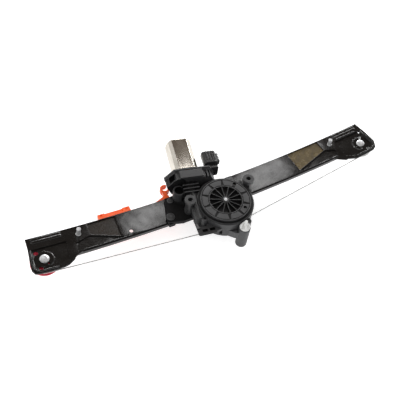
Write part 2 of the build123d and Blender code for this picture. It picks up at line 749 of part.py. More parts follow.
with BuildPart() as damper:
    add(turned([(12.2, -16.0), (29.5, -16.0), (29.5, -11), (12.2, -11)], drum_plane))
    with BuildSketch(Plane.XY.offset(-14.0)):
        with Locations((0, drum_y)):
            with PolarLocations(21, 6):
                Rectangle(12, 3)
    extrude(amount=4, mode=Mode.SUBTRACT)
save(damper.part, "damper")

with BuildPart() as driver:
    add(turned([(drum_bore, -10.6), (28, -10.6), (28, -8.6), (drum_bore, -8.6)], drum_plane))
    add(turned([(drum_bore, -21.0), (7.2, -21.0), (7.2, -10.6), (drum_bore, -10.6)], drum_plane))
    with BuildSketch(Plane.XY.offset(drum_high_z - 5.6)):
        with Locations((0, drum_y)):
            RegularPolygon(6.9, 6)
            Circle(drum_bore, mode=Mode.SUBTRACT)
    extrude(amount=5.8)
    with BuildSketch(Plane.XY.offset(-13.6)):
        with Locations((0, drum_y)):
            with PolarLocations(21, 6):
                Rectangle(11.4, 2.6)
    extrude(amount=3.1)
save(driver.part, "driver")

with BuildPart() as drum_shaft:
    add(turned(
        [
            (0, cup_bottom_z + 0.1), (shaft_radius, cup_bottom_z + 0.1), (shaft_radius, -8.4), (2.4, -8.0),
            (2.4, -2.6), (1.9, -2.1), (0, -1.9),
        ],
        drum_plane,
    ))
save(drum_shaft.part, "drum_shaft")

# ---------------------------------------------------------------- motor

can_near = 58.0
can_far = can_near + can_length
can_wall = 1.5


def can_section(radius, flat, near):
    """Round motor section with two flats, on a plane across the motor axis."""
    with BuildSketch(motor_plane(near)) as section:
        Circle(radius)
        Rectangle(3 * radius, 2 * flat, mode=Mode.INTERSECT)
    return section.sketch


with BuildPart() as motor_can:
    extrude(can_section(can_radius, can_flat_height, can_near), amount=can_length)
    far_rim = motor_can.faces().sort_by(Axis((0, 0, 0), along))[-1].edges()
    fillet(far_rim, 2.2)
    inner = can_section(can_radius - can_wall, can_flat_height - can_wall, can_near)
    extrude(inner, amount=can_length - can_wall, mode=Mode.SUBTRACT)
    # mouth flange with its screw ears, and the bearing nose
    extrude(can_section(can_radius + 1.4, can_flat_height + 1.4, can_near), amount=1.4)
    with BuildSketch(motor_plane(can_near)):
        Rectangle(2 * ear_reach, 7.2)
        with Locations((ear_reach, 0), (-ear_reach, 0)):
            Circle(3.6)
    extrude(amount=1.4)
    extrude(inner, amount=1.4, mode=Mode.SUBTRACT)
    for side in (-1, 1):
        add(motor_round(1.5, 50, 62, side * ear_reach, 0), mode=Mode.SUBTRACT)
    add(motor_round(6.6, can_far - 0.5, can_far + 3.2))
    add(motor_round(5.0, can_far - 3.0, can_far + 2.0), mode=Mode.SUBTRACT)
save(motor_can.part, "motor_can")

with BuildPart() as motor_seal:
    add(motor_prism([(x * 0.9, y * 0.98) for x, y in hood], 57.2, 58.0, 2.0))
    add(motor_round(can_radius - can_wall, 57, 59), mode=Mode.SUBTRACT)
    for side in (-1, 1):
        add(motor_round(1.5, 50, 62, side * ear_reach, 0), mode=Mode.SUBTRACT)
save(motor_seal.part, "motor_seal")

with BuildPart() as flange_screws:
    for side in (-1, 1):
        centre = motor_plane(52.0).from_local_coords((side * ear_reach, 0, 0))
        plane = Plane(origin=centre, x_dir=across, z_dir=along)
        add(turned([(0, 0), (1.45, 0), (1.45, 7.4), (3.0, 7.4), (3.0, 8.8), (2.2, 9.4), (0, 9.4)], plane))
save(flange_screws.part, "flange_screws")

for name, x_side in (("left", 1), ("right", -1)):
    with BuildPart() as magnet:
        with BuildSketch(motor_plane(66.0)):
            Circle(can_radius - can_wall)
            Circle(13.4, mode=Mode.SUBTRACT)
            with Locations((x_side * 16, 0)):
                Rectangle(14, 20, mode=Mode.INTERSECT)
        extrude(amount=36)
    save(magnet.part, f"magnet_{name}")

with BuildPart() as armature_shaft:
    add(motor_round(2.5, -16.0, can_far + 1.0))
    add(motor_round(worm_radius, -9.5, 9.5))
    rings = armature_shaft.edges().filter_by(GeomType.CIRCLE)
    chamfer(rings.filter_by(lambda ring: abs(ring.radius - worm_radius) < 0.01), 1.0)
save(armature_shaft.part, "armature_shaft")

with BuildPart() as lamination_stack:
    with BuildSketch(motor_plane(67.0)):
        Circle(12.8)
        Circle(2.5, mode=Mode.SUBTRACT)
        with PolarLocations(10.4, 8):
            Rectangle(6.0, 1.6, mode=Mode.SUBTRACT)
            with Locations((-2.2, 0)):
                Circle(2.0, mode=Mode.SUBTRACT)
    extrude(amount=34)
save(lamination_stack.part, "lamination_stack")

with BuildPart() as windings:
    for near, far in ((60.5, 67.0), (101.0, 106.5)):
        reach = far - near
        coil = [(3.4, 0), (11.4, 0), (12.2, 1), (12.2, reach - 1), (11.4, reach), (3.4, reach)]
        add(turned(coil, motor_plane(near)))
save(windings.part, "windings")

with BuildPart() as commutator:
    with BuildSketch(motor_plane(46.0)):
        Circle(6.4)
        Circle(2.5, mode=Mode.SUBTRACT)
        with PolarLocations(6.2, 10):
            Rectangle(1.2, 0.4, mode=Mode.SUBTRACT)
    extrude(amount=12)
save(commutator.part, "commutator")

brush_near = 48.5
with BuildPart() as brush_holder:
    add(motor_round(brush_room - 0.1, 44.2, 46.0))
    add(motor_round(7.4, 43, 60), mode=Mode.SUBTRACT)
    for side in (-1, 1):
        cage = [(side * 7.2, -3.6), (side * 7.2, 3.6), (side * 15.6, 3.6), (side * 15.6, -3.6)]
        add(motor_prism(cage, 45.9, 54.0))
        slot = [(side * 7.0, -2.6), (side * 7.0, 2.6), (side * 14.8, 2.6), (side * 14.8, -2.6)]
        add(motor_prism(slot, 47.4, 53.0), mode=Mode.SUBTRACT)
save(brush_holder.part, "brush_holder")

with BuildPart() as brushes:
    for side in (-1, 1):
        bar = [(side * 6.7, -2.4), (side * 6.7, 2.4), (side * 11.6, 2.4), (side * 11.6, -2.4)]
        add(motor_prism(bar, 47.6, 52.8))
save(brushes.part, "brushes")

with BuildPart() as brush_springs:
    for side in (-1, 1):
        bar = motor_plane(50.2)
        start = bar.from_local_coords((side * 11.6, 0, 0))
        heading = Vector(*across) * side
        spring_plane = Plane(origin=start, x_dir=(0, 0, 1), z_dir=heading)
        add(turned([(1.1, 0), (1.9, 0), (1.9, 3.1), (1.1, 3.1)], spring_plane))
save(brush_springs.part, "brush_springs")

for name, near, far, outer in (
    ("worm_bush_near", -15.5, -11.0, tunnel_bore),
    ("worm_bush_far", 34.0, 40.0, tunnel_bore),
    ("can_bush", can_far - 3.0, can_far + 2.0, 5.0),
):
    with BuildPart() as bush:
        add(motor_round(outer, near, far))
        add(motor_round(2.5 + running_gap, near - 1, far + 1), mode=Mode.SUBTRACT)
    save(bush.part, name)

with BuildPart() as thrust_ball:
    ball_radius = 1.45
    centre = motor_plane(-16.05 - ball_radius).origin
    with Locations(centre):
        Sphere(ball_radius)
save(thrust_ball.part, "thrust_ball")

# ---------------------------------------------------------------- connector

plug_centre = (-38.5, 5.0)
plug_near = 67.0
plug_far = 88.0

with BuildPart() as connector_housing:
    with BuildSketch(motor_plane(plug_near)):
        with Locations(plug_centre):
            RectangleRounded(21.0, 15.0, 5.4)
    extrude(amount=plug_far - plug_near)
    with BuildSketch(motor_plane(plug_near + 9)):
        with Locations(plug_centre):
            RectangleRounded(16.8, 10.8, 3.6)
    extrude(amount=20, mode=Mode.SUBTRACT)
    # grip grooves along the front and the back
    for groove in range(4):
        for y_side in (-1, 1):
            with BuildSketch(motor_plane(plug_near + 3)):
                with Locations((plug_centre[0] - 6.0 + groove * 4.0, plug_centre[1] + y_side * 7.5)):
                    Rectangle(2.0, 1.6)
            extrude(amount=30, mode=Mode.SUBTRACT)
    # latch block with its notches
    add(motor_prism([(-48.5, 0), (-48.5, 10), (-52, 9), (-52, 1)], 70, 84))
    for near in (73.5, 79):
        add(motor_prism([(-51, -2), (-51, 12), (-54, 12), (-54, -2)], near, near + 3), mode=Mode.SUBTRACT)
    # neck down to the hood
    add(motor_prism([(-31, -7), (-31, 8), (-45, 8), (-46, -5)], 58.0, plug_near + 1, 2.0))
    add(motor_prism([(-24, -10), (-24, 11), (-47, 10), (-47, -8)], 58.0, 60.4, 2.0))
    add(motor_round(can_radius + 1.8, 50, 70), mode=Mode.SUBTRACT)
    add(motor_round(4.4, 50, 64, -ear_reach, 0), mode=Mode.SUBTRACT)
save(connector_housing.part, "connector_housing")

with BuildPart() as terminals:
    for x in (-4.5, -1.5, 1.5, 4.5):
        for y in (-2.6, 2.6):
            left, right = plug_centre[0] + x - 0.4, plug_centre[0] + x + 0.4
            bottom, top = plug_centre[1] + y - 1.1, plug_centre[1] + y + 1.1
            blade = [(left, bottom), (right, bottom), (right, top), (left, top)]
            add(motor_prism(blade, plug_near + 9.0, plug_far - 5))
save(terminals.part, "connector_terminals")

# ---------------------------------------------------------------- carriage and glass clamp

shoe_front = 3.6
shoe_back = 5.8
plate_front = 9.0
plate_back = 12.5
upper_shoe_y = (29.4, 33.6)
lower_shoe_y = (-3.4, 1.2)
plate_outline = [
    (-164, 3), (-160, -1.5), (-62, -1.5), (-52, 4), (-52, 30), (-56, 38), (-84, 37), (-117, 36), (-117, 44.6),
    (-164, 44.6),
]
clamp_back = 19.5
jaw_back = 23.0
nipple_places = (-114.0, -106.0)

with BuildPart() as carriage:
    add(bowed(plan_outline(plate_outline, 2.0), plate_front, plate_back))
    for x_low, x_high in ((-163, -138), (-80, -53)):
        add(bowed(box_outline(x_low, x_high, *upper_shoe_y), shoe_front, shoe_back))
        add(bowed(box_outline(x_low, x_high, upper_shoe_y[0], 31.6), shoe_front, plate_front + 1))
        add(bowed(box_outline(x_low, x_high, *lower_shoe_y), shoe_front, shoe_back))
        add(bowed(box_outline(x_low, x_high, -1.4, lower_shoe_y[1]), shoe_front, plate_front + 1))
    # bar that stands above the rail's top edge
    add(bowed(box_outline(-164, -117, 36.6, 44.6, 1.0), 2.6, plate_back))
    add(bowed(box_outline(-153.5, -127.5, 38.8, 60), 0, 4.4), mode=Mode.SUBTRACT)
    for x in (-159, -121.5):
        add(bowed(box_outline(x - 1.6, x + 1.6, 40.4, 43.0), 0, 4.0), mode=Mode.SUBTRACT)
    # ramp and hook
    ramp = [(-85.5, 36.4), (-75, 39.1), (-66, 42.4), (-62.7, 45), (-57.4, 44), (-56, 36.4)]
    add(bowed(plan_outline(ramp), 4, plate_back))
    with BuildSketch(bow_plane(-56.0, 55.6, plate_back)):
        Circle(6.9)
        Circle(4.1, mode=Mode.SUBTRACT)
        with Locations((6.5, 2.2)):
            Rectangle(8, 5, mode=Mode.SUBTRACT)
    extrude(amount=8.0)
    add(bowed(plan_outline([(-62.9, 43), (-62.3, 52), (-57.3, 50.6), (-57.3, 43)]), 4.5, plate_back))
    # ribs on the glass side
    for y in (3.0, 27.0):
        add(bowed(box_outline(-162, -112, y, y + 2.0), plate_back - 0.5, 16.5))
    for x in (-160, -136, -114):
        add(bowed(box_outline(x, x + 2.0, 3.0, 29.0), plate_back - 0.5, 16.5))
    # cable block with its nipple pockets
    add(bowed(box_outline(-120, -100, 11.5, 23.5, 1.0), 4.2, plate_front + 1))
    add(bowed(box_outline(-121, -99, 15.9, 19.1), 0, 7.2), mode=Mode.SUBTRACT)
    for x in nipple_places:
        with BuildSketch(bow_plane(x, cable_y, 7.2)):
            Circle(2.7)
        extrude(amount=8, mode=Mode.SUBTRACT)
    # clamp screw hole and lightening windows
    with BuildSketch(bow_plane(-80, 14, 30)):
        Circle(3.1)
    extrude(amount=28, mode=Mode.SUBTRACT)
    add(bowed(box_outline(-154, -142, 8, 22, 2.0), 6, 30), mode=Mode.SUBTRACT)
save(carriage.part, "carriage")

with BuildPart() as nipples:
    for x in nipple_places:
        plane = bow_plane(x, cable_y, 7.1)
        with BuildSketch(plane):
            Circle(2.6)
        extrude(amount=3.5)
        with BuildSketch(plane.offset(1.3)):
            Rectangle(12, 2.3)
        extrude(amount=8, mode=Mode.SUBTRACT)
save(nipples.part, "cable_nipples")

with BuildPart() as glass_clamp:
    jaw_outline = [(-106, 8), (-59, 8), (-56, 11), (-56, 39), (-59, 42), (-106, 42)]
    add(bowed(plan_outline(jaw_outline), clamp_back, jaw_back))
    add(bowed(box_outline(-106, -98, 8, 42), plate_back, clamp_back + 1))
    for y in (21.5, 29.5, 37.0):
        add(bowed(box_outline(-104, -60, y, y + 2.0), jaw_back - 0.5, jaw_back + 2.5))
    with BuildSketch(bow_plane(-80, 14, 30)):
        Circle(3.1)
    extrude(amount=20, mode=Mode.SUBTRACT)
save(glass_clamp.part, "glass_clamp")

with BuildPart() as clamp_screw:
    screw_plane = bow_plane(-80, 14, jaw_back)
    add(turned(
        [(2.9, 0), (5.8, 0), (5.8, -1.0), (5.0, -4.0), (0, -4.0), (0, 17.6), (2.4, 17.6), (2.9, 17.0)],
        screw_plane,
    ))
    with BuildSketch(screw_plane.offset(-4.0)):
        RegularPolygon(2.6, 6)
    extrude(amount=2.4, mode=Mode.SUBTRACT)
save(clamp_screw.part, "clamp_screw")

with BuildPart() as clamp_nut:
    with BuildSketch(bow_plane(-80, 14, plate_front - 0.06)):
        RegularPolygon(5.4, 6)
        Circle(2.9, mode=Mode.SUBTRACT)
    extrude(amount=2.9)
save(clamp_nut.part, "clamp_nut")

# rubber buffers at the ends of the travel, on the back of the web
for name, side in (("lower", -1), ("upper", 1)):
    with BuildPart() as buffer_stop:
        edge = sorted((side * 213.8, side * 217.0))
        near, far = edge
        add(bowed(box_outline(near, far, 25.0, 31.0, 0.8), dish_depth + sheet, 12.5))
    save(buffer_stop.part, f"end_buffer_{name}")
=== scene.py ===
"""Dressed scene of a window regulator: a bowed pressed rail with a cable drum and a worm gear motor.

Every sub-assembly is a class that dresses its own solids and adds its own finer pieces.
Lengths are metres in the frame of the solids: +X along the rail, +Z out of the motor bosses.
"""

import json
import logging
import math
from dataclasses import dataclass, field
from enum import Enum
from typing import Any, Callable, Iterable, Sequence

import bmesh
import bpy
from mathutils import Matrix, Vector

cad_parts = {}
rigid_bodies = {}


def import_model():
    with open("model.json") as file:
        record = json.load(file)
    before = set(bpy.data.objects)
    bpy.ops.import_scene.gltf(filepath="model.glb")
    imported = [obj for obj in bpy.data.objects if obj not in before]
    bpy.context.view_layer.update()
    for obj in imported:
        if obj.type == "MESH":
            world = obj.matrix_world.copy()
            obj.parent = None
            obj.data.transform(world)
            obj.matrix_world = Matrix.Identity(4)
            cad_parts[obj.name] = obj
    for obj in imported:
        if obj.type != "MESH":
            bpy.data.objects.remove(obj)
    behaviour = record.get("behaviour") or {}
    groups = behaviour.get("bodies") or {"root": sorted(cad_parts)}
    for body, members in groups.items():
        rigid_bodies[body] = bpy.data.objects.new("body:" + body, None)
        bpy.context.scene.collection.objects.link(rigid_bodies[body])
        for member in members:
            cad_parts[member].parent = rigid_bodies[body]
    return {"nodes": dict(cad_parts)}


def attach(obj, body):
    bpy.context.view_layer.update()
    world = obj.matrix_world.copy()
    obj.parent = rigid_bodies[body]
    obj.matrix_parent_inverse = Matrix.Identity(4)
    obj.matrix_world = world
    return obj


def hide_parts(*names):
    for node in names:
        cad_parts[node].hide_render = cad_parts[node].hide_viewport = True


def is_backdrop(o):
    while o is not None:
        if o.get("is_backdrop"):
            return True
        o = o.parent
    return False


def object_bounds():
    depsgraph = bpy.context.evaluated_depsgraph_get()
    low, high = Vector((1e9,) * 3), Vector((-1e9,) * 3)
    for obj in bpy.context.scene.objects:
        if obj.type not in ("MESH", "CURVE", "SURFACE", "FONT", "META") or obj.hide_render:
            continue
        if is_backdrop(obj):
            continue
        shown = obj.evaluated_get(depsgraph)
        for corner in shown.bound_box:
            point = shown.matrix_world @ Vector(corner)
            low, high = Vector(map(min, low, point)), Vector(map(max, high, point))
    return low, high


LOG = logging.getLogger("window_regulator")
MM = 0.001

# An edge sharper than this many degrees stays sharp in the shading, and a bevel starts at the next.
SMOOTH_DEG = 34
BEVEL_DEG = 32
# Two points nearer than this, in metres, are one.
SAME_PLACE = 1e-6
# The floor lies this far below the lowest solid, in metres.
FLOOR_GAP = 0.0002
# Places of the solids that the finer pieces and the finishes go by, in millimetres.
MOTOR_FOOT = (-40.337, -7.642, -14.0)
MOTOR_TURN_DEG = 13.6
DRUM_CENTRE = (0.0, -17.4)
TRIM_RECESS = (-49.0, 27.0)
WEB_BOSS = (-46.0, 0.0)


class Body(Enum):
    """Rigid bodies of the regulator, by the names its solids are grouped under."""

    FRAME = "frame"
    CARRIAGE = "carriage"
    DRUM_TRAIN = "drum_train"
    PULLEY_LOW = "pulley_low"
    PULLEY_HIGH = "pulley_high"
    ARMATURE = "armature"


# ------------------------------------------------------------------ colour and node helpers


def linear(colour: str) -> tuple[float, float, float, float]:
    """Turns an sRGB hex colour to the linear values a shader takes.

    Args:
        colour: Six hex digits, with or without a leading hash.

    Returns:
        Red, green, blue and full alpha.
    """
    digits = colour.lstrip("#")
    parts = [int(digits[i : i + 2], 16) / 255 for i in (0, 2, 4)]
    values = [p / 12.92 if p <= 0.04045 else ((p + 0.055) / 1.055) ** 2.4 for p in parts]
    return (values[0], values[1], values[2], 1.0)


def add_node(
    tree: bpy.types.NodeTree,
    kind: str,
    settings: dict[str, Any] | None = None,
    values: dict[str | int, Any] | None = None,
    links: dict[str | int, bpy.types.NodeSocket] | None = None,
) -> bpy.types.Node:
    """Adds one shader node with its settings, input values and incoming links.

    Args:
        tree: Node tree that takes the node.
        kind: Type name of the node.
        settings: Attributes of the node itself.
        values: Input socket values, by name or index.
        links: Output sockets to join, by input name or index.

    Returns:
        The new node.
    """
    node = tree.nodes.new(kind)
    for name, value in (settings or {}).items():
        setattr(node, name, value)
    for name, value in (values or {}).items():
        node.inputs[name].default_value = value
    for name, socket in (links or {}).items():
        tree.links.new(socket, node.inputs[name])
    return node


def add_ramp(
    tree: bpy.types.NodeTree, source: bpy.types.NodeSocket, stops: Sequence[tuple[float, str]]
) -> bpy.types.Node:
    """Adds a colour ramp through hex colours.

    Args:
        tree: Node tree that takes the ramp.
        source: Socket that drives it.
        stops: Place and colour of each stop.

    Returns:
        The ramp node.
    """
    ramp = add_node(tree, "ShaderNodeValToRGB", links={"Fac": source})
    elements = ramp.color_ramp.elements
    while len(elements) < len(stops):
        elements.new(0.5)
    for element, (place, colour) in zip(elements, stops):
        element.position = place
        element.color = linear(colour)
    return ramp


def scaled(tree: bpy.types.NodeTree, socket: bpy.types.NodeSocket, factor: float) -> bpy.types.NodeSocket:
    """Returns a socket's value times a factor."""
    settings = {"operation": "MULTIPLY"}
    return add_node(tree, "ShaderNodeMath", settings, {1: factor}, {0: socket}).outputs["Value"]


def sent_on(tree: bpy.types.NodeTree, rays: bpy.types.Node) -> bpy.types.NodeSocket:
    """Adds a value that is 1 for a ray that gloss or glass sends on.

    Args:
        tree: Node tree that takes the nodes.
        rays: Its light path node.

    Returns:
        The value's socket.
    """
    return add_node(
        tree,
        "ShaderNodeMath",
        settings={"operation": "MAXIMUM"},
        links={0: rays.outputs["Is Glossy Ray"], 1: rays.outputs["Is Transmission Ray"]},
    ).outputs["Value"]


def any_seen(tree: bpy.types.NodeTree) -> bpy.types.NodeSocket:
    """Adds a value that is 1 for a ray from the eye, or one that gloss or glass sends on.

    Args:
        tree: Node tree that takes the nodes.

    Returns:
        The value's socket.
    """
    rays = add_node(tree, "ShaderNodeLightPath")
    return add_node(
        tree,
        "ShaderNodeMath",
        settings={"operation": "MAXIMUM"},
        links={0: rays.outputs["Is Camera Ray"], 1: sent_on(tree, rays)},
    ).outputs["Value"]


# ------------------------------------------------------------------ finishes


@dataclass(frozen=True)
class Finish:
    """A real material and how its surface was made.

    The pattern sizes are real millimetres: blotch is the wide, soft unevenness of gloss and
    colour, wave the shallow unevenness of the surface itself, grain the fine relief. A grain
    finer than a render can show is drawn as coarse as it needs. The two roughness values
    are those of the smoothest and the dullest blotches. The last two values are the colour
    of a painted highlight along the outer edges and how much of it shows.
    """

    name: str
    colour: str
    colour_dark: str
    metallic: float
    roughness: tuple[float, float]
    blotch_mm: float
    grain_mm: float
    grain_depth: float
    ior: float = 1.5
    turn_deg: float = 0.0
    stretch: float = 1.0
    wave_mm: float = 0.0
    wave_depth_mm: float = 0.0
    highlight_colour: str = ""
    highlight_strength: float = 0.0

    def build(self) -> bpy.types.Material:
        """Builds the finish as a node material, once.

        Returns:
            The material.
        """
        if self.name in bpy.data.materials:
            return bpy.data.materials[self.name]
        material = bpy.data.materials.new(self.name)
        material.use_nodes = True
        tree = material.node_tree
        tree.nodes.clear()
        place = add_node(tree, "ShaderNodeTexCoord").outputs["Object"]
        drawn = place
        if self.turn_deg or self.stretch != 1.0:
            drawn = add_node(
                tree,
                "ShaderNodeMapping",
                values={"Rotation": (0, 0, math.radians(self.turn_deg)), "Scale": (1, self.stretch, 1)},
                links={"Vector": place},
            ).outputs["Vector"]
        blotch = self.noise(tree, drawn, self.blotch_mm, 4.0, 0.55)
        fine = self.noise(tree, drawn, self.grain_mm, 3.0, 0.6)
        tone = add_ramp(tree, blotch, ((0.32, self.colour_dark), (0.68, self.colour))).outputs["Color"]
        # The outer edges get a painted highlight, lighter where the mesh is pointed.
        if self.highlight_strength:
            tone = self.painted_edge_highlights(tree, tone, fine)
        rough = add_node(
            tree,
            "ShaderNodeMapRange",
            values={1: 0.3, 2: 0.7, 3: self.roughness[0], 4: self.roughness[1]},
            links={0: blotch},
        )
        relief = add_node(
            tree,
            "ShaderNodeBump",
            values={"Strength": self.grain_depth, "Distance": self.grain_mm * MM * 0.25},
            links={"Height": fine},
        )
        if self.wave_depth_mm:
            wave = add_node(
                tree,
                "ShaderNodeBump",
                values={"Strength": 1.0, "Distance": self.wave_depth_mm * MM},
                links={"Height": self.noise(tree, place, self.wave_mm, 1.0, 0.4)},
            )
            tree.links.new(wave.outputs["Normal"], relief.inputs["Normal"])
        surface = add_node(
            tree,
            "ShaderNodeBsdfPrincipled",
            values={"Metallic": self.metallic, "IOR": self.ior},
            links={
                "Base Color": tone,
                "Roughness": rough.outputs["Result"],
                "Normal": relief.outputs["Normal"],
            },
        )
        add_node(tree, "ShaderNodeOutputMaterial", links={"Surface": surface.outputs["BSDF"]})
        return material

    @staticmethod
    def noise(
        tree: bpy.types.NodeTree, place: bpy.types.NodeSocket, size_mm: float, detail: float, roughness: float
    ) -> bpy.types.NodeSocket:
        """Adds a noise of a real size.

        Args:
            tree: Node tree of the finish.
            place: Place on the piece.
            size_mm: Size of the noise.
            detail: Number of finer noises on top.
            roughness: How strong the finer noises are.

        Returns:
            The noise's socket, from 0 to 1.
        """
        node = add_node(
            tree,
            "ShaderNodeTexNoise",
            values={"Scale": 1 / (size_mm * MM), "Detail": detail, "Roughness": roughness},
            links={"Vector": place},
        )
        return node.outputs["Fac"]

    def painted_edge_highlights(
        self, tree: bpy.types.NodeTree, tone: bpy.types.NodeSocket, fine: bpy.types.NodeSocket
    ) -> bpy.types.NodeSocket:
        """Paints a highlight on the outer edges, broken up by the fine grain.

        Args:
            tree: Node tree of the finish.
            tone: Colour before the edges.
            fine: Grain that breaks the edges up.

        Returns:
            The colour with its painted highlight.
        """
        point = add_node(tree, "ShaderNodeNewGeometry").outputs["Pointiness"]
        edge = add_node(
            tree,
            "ShaderNodeMapRange",
            values={1: 0.52, 2: 0.60, 3: 0.0, 4: self.highlight_strength},
            links={0: point},
        )
        broken = add_node(
            tree,
            "ShaderNodeMath",
            settings={"operation": "MULTIPLY", "use_clamp": True},
            links={0: edge.outputs["Result"], 1: scaled(tree, fine, 1.8)},
        )
        mix = add_node(
            tree,
            "ShaderNodeMix",
            settings={"data_type": "RGBA"},
            links={0: broken.outputs["Value"], 6: tone},
            values={7: linear(self.highlight_colour)},
        )
        return mix.outputs[2]


# Black stoving enamel over pressed steel: deep gloss, with the pressing's own faint waves under it.
STOVING_ENAMEL = Finish(
    "stoving_enamel_gloss", "#0f0e0e", "#080707", 0.0, (0.07, 0.14), 16.0, 1.4, 0.03, 1.55,
    wave_mm=15.0, wave_depth_mm=0.05,
)
# The brown floors of the pockets are painted reflection, coloured into the enamel: dark brown at the
# lower end and amber at the upper end.
DARK_POCKET_REFLECTION = Finish(
    "enamel_painted_dark_reflection", "#261f19", "#1a1511", 0.0, (0.14, 0.24), 12.0, 1.4, 0.04, 1.45,
    wave_mm=15.0, wave_depth_mm=0.04,
)
AMBER_POCKET_REFLECTION = Finish(
    "enamel_painted_amber_reflection", "#66583a", "#453a24", 0.0, (0.18, 0.32), 9.0, 1.6, 0.06, 1.45,
    wave_mm=12.0, wave_depth_mm=0.04,
)
# Zinc plate on cold-headed steel: pale, soft sheen, fine crystal grain. It is less metallic than
# real plate, so that it stays pale where it has only dark things to reflect.
ZINC_PLATE = Finish("zinc_plate_pale", "#e4e5e6", "#bcbdbf", 0.55, (0.30, 0.46), 2.4, 0.35, 0.20)
# Nickel-plated deep-drawn motor can: faint lines along the draw.
DRAWN_CAN = Finish(
    "nickel_plate_drawn", "#cdc8bf", "#b6b0a6", 1.0, (0.08, 0.13), 9.0, 0.7, 0.05,
    turn_deg=MOTOR_TURN_DEG, stretch=0.12,
)
# Glass-filled nylon from a spark-eroded mould: charcoal and matt, with a fine grain and a painted highlight
# along its outer edges.
GLASS_NYLON = Finish(
    "glass_nylon_moulded", "#29292a", "#212122", 0.0, (0.42, 0.58), 8.0, 0.8, 0.22, 1.53,
    highlight_colour="#5a5a5c", highlight_strength=0.5,
)
# The same nylon, made darker and with less sheen than the real one: painted shade for the wing and the deep
# places, with a painted highlight along its outer edges.
SHADED_NYLON = Finish(
    "glass_nylon_painted_shade", "#0b0b0c", "#060607", 0.0, (0.48, 0.62), 8.0, 0.8, 0.20, 1.30,
    highlight_colour="#343436", highlight_strength=0.4,
)
# The same nylon from a polished mould, for the connector and small parts, with a painted highlight along its
# outer edges.
SMOOTH_NYLON = Finish(
    "nylon_polished_mould", "#1c1c1d", "#121213", 0.0, (0.24, 0.36), 6.0, 0.8, 0.12, 1.53,
    highlight_colour="#4c4c4e", highlight_strength=0.4,
)
# Acetal sliders, wheels and pulleys: waxy, self-coloured. The white pin is nylon; the upper pulley, acetal
# too, is given the pin's whiter colour as painted light, as it sits in shade.
ORANGE_ACETAL = Finish("acetal_orange", "#f4601c", "#e85312", 0.0, (0.36, 0.48), 14.0, 1.2, 0.08, 1.48)
RED_ACETAL = Finish("acetal_red", "#d83c50", "#c22c40", 0.0, (0.30, 0.42), 10.0, 1.0, 0.08, 1.48)
NATURAL_ACETAL = Finish("acetal_natural", "#e9e7df", "#dbd8ce", 0.0, (0.34, 0.46), 12.0, 1.0, 0.08, 1.48)
WHITE_NYLON_AND_PULLEY_LIGHT = Finish("nylon_white_and_pulley_light", "#eeeeec", "#dcdcd9", 0.0, (0.34, 0.46), 8.0, 1.0, 0.08, 1.53)
# Bare wire rope: its strands are too fine to show, so they are a grain of light and dark.
WIRE_ROPE = Finish("steel_wire_rope", "#c9cac8", "#9fa09f", 0.6, (0.30, 0.42), 2.0, 0.5, 0.35)
# Black passivated zinc on the housing screws, matt.
BLACK_ZINC = Finish("zinc_plate_black", "#111112", "#0a0a0b", 0.0, (0.42, 0.56), 2.4, 0.35, 0.20, 1.4)
# Parts that hardly show: rubber, ground ferrite, enamelled wire, sintered bronze, carbon, sheet steel.
RUBBER = Finish("rubber_moulded", "#161616", "#0e0e0e", 0.0, (0.62, 0.78), 6.0, 0.7, 0.20, 1.52)
FERRITE = Finish("ferrite_ground", "#2d2d2f", "#202022", 0.0, (0.45, 0.60), 5.0, 0.5, 0.15, 1.6)
COPPER_WIRE = Finish("enamelled_copper", "#b8693a", "#8e4a24", 1.0, (0.24, 0.36), 2.0, 0.6, 0.45)
BRONZE = Finish("sintered_bronze", "#a5814e", "#84653a", 1.0, (0.40, 0.55), 2.0, 0.3, 0.25)
CARBON = Finish("carbon_brush", "#1d1d1f", "#141416", 0.0, (0.40, 0.55), 2.0, 0.3, 0.20, 1.6)
LAMINATIONS = Finish("electrical_steel_stack", "#77787b", "#55565a", 1.0, (0.34, 0.48), 3.0, 0.5, 0.40)


# ------------------------------------------------------------------ mesh helpers


def only(piece: bpy.types.Object) -> None:
    """Leaves one object selected and active, in object mode.

    Args:
        piece: The object.
    """
    if bpy.context.object and bpy.context.object.mode != "OBJECT":
        bpy.ops.object.mode_set(mode="OBJECT")
    bpy.ops.object.select_all(action="DESELECT")
    piece.select_set(True)
    bpy.context.view_layer.objects.active = piece


def only_none() -> None:
    """Leaves nothing selected, in object mode."""
    if bpy.context.object and bpy.context.object.mode != "OBJECT":
        bpy.ops.object.mode_set(mode="OBJECT")
    bpy.ops.object.select_all(action="DESELECT")


def select_edges(piece: bpy.types.Object, place: Vector, along: Vector) -> None:
    """Selects only the edges of a piece that end at a place and run one way.

    Args:
        piece: The piece, in edit mode.
        place: Where one end of the edge is.
        along: The way the edge runs.
    """
    mesh = bmesh.from_edit_mesh(piece.data)
    for part in (*mesh.verts, *mesh.edges, *mesh.faces):
        part.select = False
    for edge in mesh.edges:
        ends = [vertex.co for vertex in edge.verts]
        ends_here = min((end - place).length for end in ends) < 10 * SAME_PLACE
        if ends_here and abs((ends[1] - ends[0]).normalized().dot(along.normalized())) > 0.99:
            edge.select_set(True)
    bmesh.update_edit_mesh(piece.data)


def dress(piece: bpy.types.Object, finish: Finish) -> None:
    """Gives a piece one finish all over."""
    piece.data.materials.clear()
    piece.data.materials.append(finish.build())


